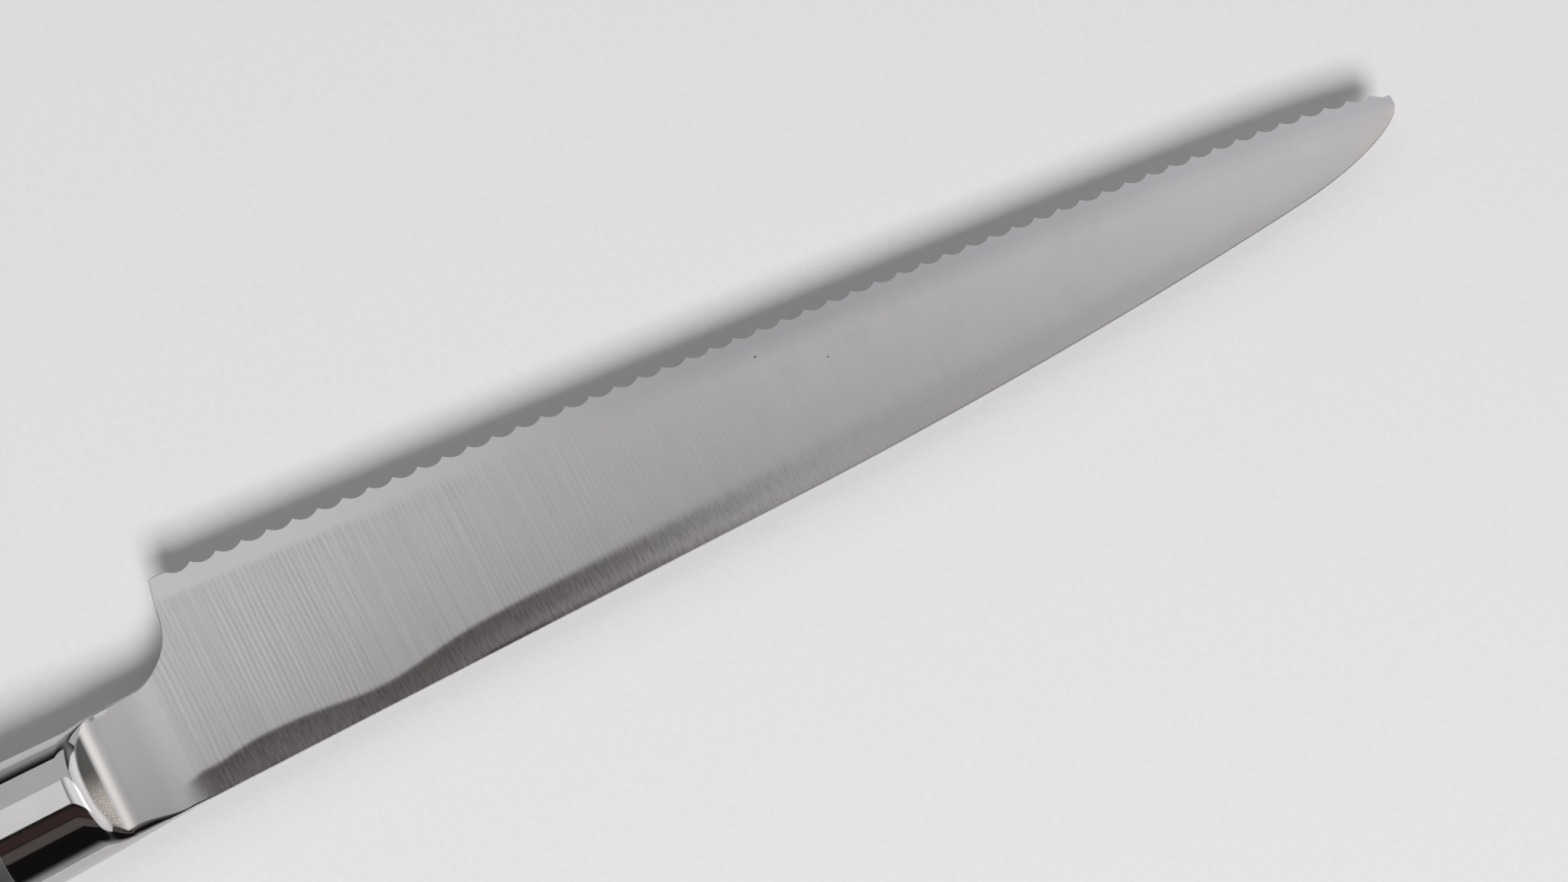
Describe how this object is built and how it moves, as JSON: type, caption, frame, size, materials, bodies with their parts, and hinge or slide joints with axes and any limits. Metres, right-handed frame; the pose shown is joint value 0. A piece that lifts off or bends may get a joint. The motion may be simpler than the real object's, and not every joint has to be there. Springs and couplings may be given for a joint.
{
  "type": "bread knife",
  "caption": "Scalloped slicing knife for bread: long flat blade with a rounded nose, polished oval bolster with a hollowed shoulder, hollow satin steel grip with a polished butt.",
  "frame": {"origin": "bottom centre of the bounding box, with the knife lying on its right side", "axes": "+X towards the tip, +Y towards the cutting edge, +Z out of the blade's left face"},
  "size_m": [0.38, 0.0398, 0.0172],
  "materials": {
    "blade_steel": "ground satin, grind lines across the blade",
    "polished_steel": "mirror polished",
    "satin_steel": "fine bead-blasted satin",
    "inner_steel": "plain machined, hidden inside the grip"
  },
  "bodies": {
    "root": {"blade": "blade_steel", "bolster": "polished_steel", "tang": "inner_steel", "tang_pins": "inner_steel", "balance_weight": "inner_steel", "weight_pin": "inner_steel", "grip_shell_left": "satin_steel", "grip_shell_right": "satin_steel", "butt_cap": "polished_steel"}
  },
  "joints": []
}
